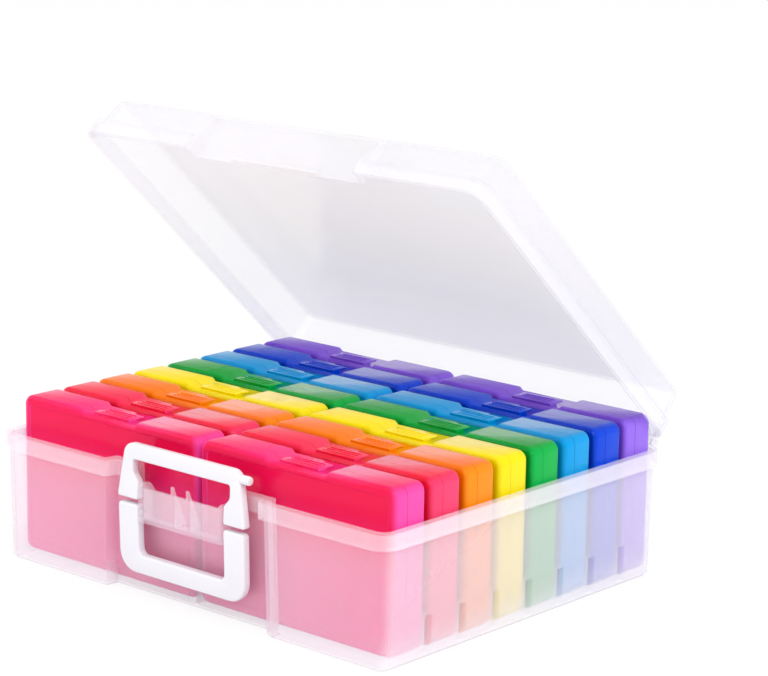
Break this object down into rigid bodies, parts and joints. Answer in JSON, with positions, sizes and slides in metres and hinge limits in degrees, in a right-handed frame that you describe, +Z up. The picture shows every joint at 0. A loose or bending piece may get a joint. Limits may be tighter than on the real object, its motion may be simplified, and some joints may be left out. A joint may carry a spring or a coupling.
{
  "type": "photo keeper case",
  "caption": "Clear carrying case with hinged lid, swing latch and fold-out handle, holding rows of slim coloured snap-shut photo cases.",
  "frame": {"origin": "centre of the box's underside, on the surface it stands on", "axes": "+X to the right along the front with the latch, +Y to the hinged rear, +Z up"},
  "size_m": [0.38, 0.3303, 0.3291],
  "materials": {
    "clear_plastic": "milky clear, gloss",
    "white_plastic": "opaque white, gloss",
    "pink_plastic": "tinted see-through, gloss",
    "red_plastic": "tinted see-through, gloss",
    "orange_plastic": "tinted see-through, gloss",
    "yellow_plastic": "tinted see-through, gloss",
    "green_plastic": "tinted see-through, gloss",
    "teal_plastic": "tinted see-through, gloss",
    "blue_plastic": "tinted see-through, gloss",
    "violet_plastic": "tinted see-through, gloss"
  },
  "bodies": {
    "base": {"case_base": "clear_plastic"},
    "lid": {"case_lid": "clear_plastic"},
    "latch": {"lid_latch": "white_plastic"},
    "handle": {"carry_handle": "white_plastic"},
    "tray_pink_left": {"photo_case_tray_pink_left": "pink_plastic"},
    "cover_pink_left": {"photo_case_cover_pink_left": "pink_plastic"},
    "tray_pink_right": {"photo_case_tray_pink_right": "pink_plastic"},
    "cover_pink_right": {"photo_case_cover_pink_right": "pink_plastic"},
    "tray_red_left": {"photo_case_tray_red_left": "red_plastic"},
    "cover_red_left": {"photo_case_cover_red_left": "red_plastic"},
    "tray_red_right": {"photo_case_tray_red_right": "red_plastic"},
    "cover_red_right": {"photo_case_cover_red_right": "red_plastic"},
    "tray_orange_left": {"photo_case_tray_orange_left": "orange_plastic"},
    "cover_orange_left": {"photo_case_cover_orange_left": "orange_plastic"},
    "tray_orange_right": {"photo_case_tray_orange_right": "orange_plastic"},
    "cover_orange_right": {"photo_case_cover_orange_right": "orange_plastic"},
    "tray_yellow_left": {"photo_case_tray_yellow_left": "yellow_plastic"},
    "cover_yellow_left": {"photo_case_cover_yellow_left": "yellow_plastic"},
    "tray_yellow_right": {"photo_case_tray_yellow_right": "yellow_plastic"},
    "cover_yellow_right": {"photo_case_cover_yellow_right": "yellow_plastic"},
    "tray_green_left": {"photo_case_tray_green_left": "green_plastic"},
    "cover_green_left": {"photo_case_cover_green_left": "green_plastic"},
    "tray_green_right": {"photo_case_tray_green_right": "green_plastic"},
    "cover_green_right": {"photo_case_cover_green_right": "green_plastic"},
    "tray_teal_left": {"photo_case_tray_teal_left": "teal_plastic"},
    "cover_teal_left": {"photo_case_cover_teal_left": "teal_plastic"},
    "tray_teal_right": {"photo_case_tray_teal_right": "teal_plastic"},
    "cover_teal_right": {"photo_case_cover_teal_right": "teal_plastic"},
    "tray_blue_left": {"photo_case_tray_blue_left": "blue_plastic"},
    "cover_blue_left": {"photo_case_cover_blue_left": "blue_plastic"},
    "tray_blue_right": {"photo_case_tray_blue_right": "blue_plastic"},
    "cover_blue_right": {"photo_case_cover_blue_right": "blue_plastic"},
    "tray_violet_left": {"photo_case_tray_violet_left": "violet_plastic"},
    "cover_violet_left": {"photo_case_cover_violet_left": "violet_plastic"},
    "tray_violet_right": {"photo_case_tray_violet_right": "violet_plastic"},
    "cover_violet_right": {"photo_case_cover_violet_right": "violet_plastic"}
  },
  "joints": [
    {"name": "lid_hinge", "type": "hinge", "parent": "base", "child": "lid", "pos_m": [0, 0.1605, 0.096], "axis": [-1, 0, 0], "range_deg": [-43, 70]},
    {"name": "latch_hinge", "type": "hinge", "parent": "base", "child": "latch", "pos_m": [0, -0.15, 0.08], "axis": [1, 0, 0], "range_deg": [-4, 90]},
    {"name": "handle_hinge", "type": "hinge", "parent": "base", "child": "handle", "pos_m": [0, -0.15, 0.064], "axis": [-1, 0, 0], "range_deg": [0, 95]},
    {"name": "lift_pink_left", "type": "slide", "parent": "base", "child": "tray_pink_left", "axis": [0, 0, 1], "range_m": [0, 0.125]},
    {"name": "cover_pink_left", "type": "hinge", "parent": "tray_pink_left", "child": "cover_pink_left", "pos_m": [-0.09175, -0.12315, 0.0049], "axis": [1, 0, 0], "range_deg": [0, 1.2]},
    {"name": "lift_pink_right", "type": "slide", "parent": "base", "child": "tray_pink_right", "axis": [0, 0, 1], "range_m": [0, 0.125]},
    {"name": "cover_pink_right", "type": "hinge", "parent": "tray_pink_right", "child": "cover_pink_right", "pos_m": [0.09175, -0.12315, 0.0049], "axis": [1, 0, 0], "range_deg": [0, 1.2]},
    {"name": "lift_red_left", "type": "slide", "parent": "base", "child": "tray_red_left", "axis": [0, 0, 1], "range_m": [0, 0.125]},
    {"name": "cover_red_left", "type": "hinge", "parent": "tray_red_left", "child": "cover_red_left", "pos_m": [-0.09175, -0.08745, 0.0049], "axis": [1, 0, 0], "range_deg": [0, 1.2]},
    {"name": "lift_red_right", "type": "slide", "parent": "base", "child": "tray_red_right", "axis": [0, 0, 1], "range_m": [0, 0.125]},
    {"name": "cover_red_right", "type": "hinge", "parent": "tray_red_right", "child": "cover_red_right", "pos_m": [0.09175, -0.08745, 0.0049], "axis": [1, 0, 0], "range_deg": [0, 1.2]},
    {"name": "lift_orange_left", "type": "slide", "parent": "base", "child": "tray_orange_left", "axis": [0, 0, 1], "range_m": [0, 0.125]},
    {"name": "cover_orange_left", "type": "hinge", "parent": "tray_orange_left", "child": "cover_orange_left", "pos_m": [-0.09175, -0.05175, 0.0049], "axis": [1, 0, 0], "range_deg": [0, 1.2]},
    {"name": "lift_orange_right", "type": "slide", "parent": "base", "child": "tray_orange_right", "axis": [0, 0, 1], "range_m": [0, 0.125]},
    {"name": "cover_orange_right", "type": "hinge", "parent": "tray_orange_right", "child": "cover_orange_right", "pos_m": [0.09175, -0.05175, 0.0049], "axis": [1, 0, 0], "range_deg": [0, 1.2]},
    {"name": "lift_yellow_left", "type": "slide", "parent": "base", "child": "tray_yellow_left", "axis": [0, 0, 1], "range_m": [0, 0.125]},
    {"name": "cover_yellow_left", "type": "hinge", "parent": "tray_yellow_left", "child": "cover_yellow_left", "pos_m": [-0.09175, -0.01605, 0.0049], "axis": [1, 0, 0], "range_deg": [0, 1.2]},
    {"name": "lift_yellow_right", "type": "slide", "parent": "base", "child": "tray_yellow_right", "axis": [0, 0, 1], "range_m": [0, 0.125]},
    {"name": "cover_yellow_right", "type": "hinge", "parent": "tray_yellow_right", "child": "cover_yellow_right", "pos_m": [0.09175, -0.01605, 0.0049], "axis": [1, 0, 0], "range_deg": [0, 1.2]},
    {"name": "lift_green_left", "type": "slide", "parent": "base", "child": "tray_green_left", "axis": [0, 0, 1], "range_m": [0, 0.125]},
    {"name": "cover_green_left", "type": "hinge", "parent": "tray_green_left", "child": "cover_green_left", "pos_m": [-0.09175, 0.01965, 0.0049], "axis": [1, 0, 0], "range_deg": [0, 1.2]},
    {"name": "lift_green_right", "type": "slide", "parent": "base", "child": "tray_green_right", "axis": [0, 0, 1], "range_m": [0, 0.125]},
    {"name": "cover_green_right", "type": "hinge", "parent": "tray_green_right", "child": "cover_green_right", "pos_m": [0.09175, 0.01965, 0.0049], "axis": [1, 0, 0], "range_deg": [0, 1.2]},
    {"name": "lift_teal_left", "type": "slide", "parent": "base", "child": "tray_teal_left", "axis": [0, 0, 1], "range_m": [0, 0.098]},
    {"name": "cover_teal_left", "type": "hinge", "parent": "tray_teal_left", "child": "cover_teal_left", "pos_m": [-0.09175, 0.05535, 0.0049], "axis": [1, 0, 0], "range_deg": [0, 1.2]},
    {"name": "lift_teal_right", "type": "slide", "parent": "base", "child": "tray_teal_right", "axis": [0, 0, 1], "range_m": [0, 0.098]},
    {"name": "cover_teal_right", "type": "hinge", "parent": "tray_teal_right", "child": "cover_teal_right", "pos_m": [0.09175, 0.05535, 0.0049], "axis": [1, 0, 0], "range_deg": [0, 1.2]},
    {"name": "lift_blue_left", "type": "slide", "parent": "base", "child": "tray_blue_left", "axis": [0, 0, 1], "range_m": [0, 0.065]},
    {"name": "cover_blue_left", "type": "hinge", "parent": "tray_blue_left", "child": "cover_blue_left", "pos_m": [-0.09175, 0.09105, 0.0049], "axis": [1, 0, 0], "range_deg": [0, 1.2]},
    {"name": "lift_blue_right", "type": "slide", "parent": "base", "child": "tray_blue_right", "axis": [0, 0, 1], "range_m": [0, 0.065]},
    {"name": "cover_blue_right", "type": "hinge", "parent": "tray_blue_right", "child": "cover_blue_right", "pos_m": [0.09175, 0.09105, 0.0049], "axis": [1, 0, 0], "range_deg": [0, 1.2]},
    {"name": "lift_violet_left", "type": "slide", "parent": "base", "child": "tray_violet_left", "axis": [0, 0, 1], "range_m": [0, 0.032]},
    {"name": "cover_violet_left", "type": "hinge", "parent": "tray_violet_left", "child": "cover_violet_left", "pos_m": [-0.09175, 0.12675, 0.0049], "axis": [1, 0, 0], "range_deg": [0, 1.2]},
    {"name": "lift_violet_right", "type": "slide", "parent": "base", "child": "tray_violet_right", "axis": [0, 0, 1], "range_m": [0, 0.032]},
    {"name": "cover_violet_right", "type": "hinge", "parent": "tray_violet_right", "child": "cover_violet_right", "pos_m": [0.09175, 0.12675, 0.0049], "axis": [1, 0, 0], "range_deg": [0, 1.2]}
  ]
}
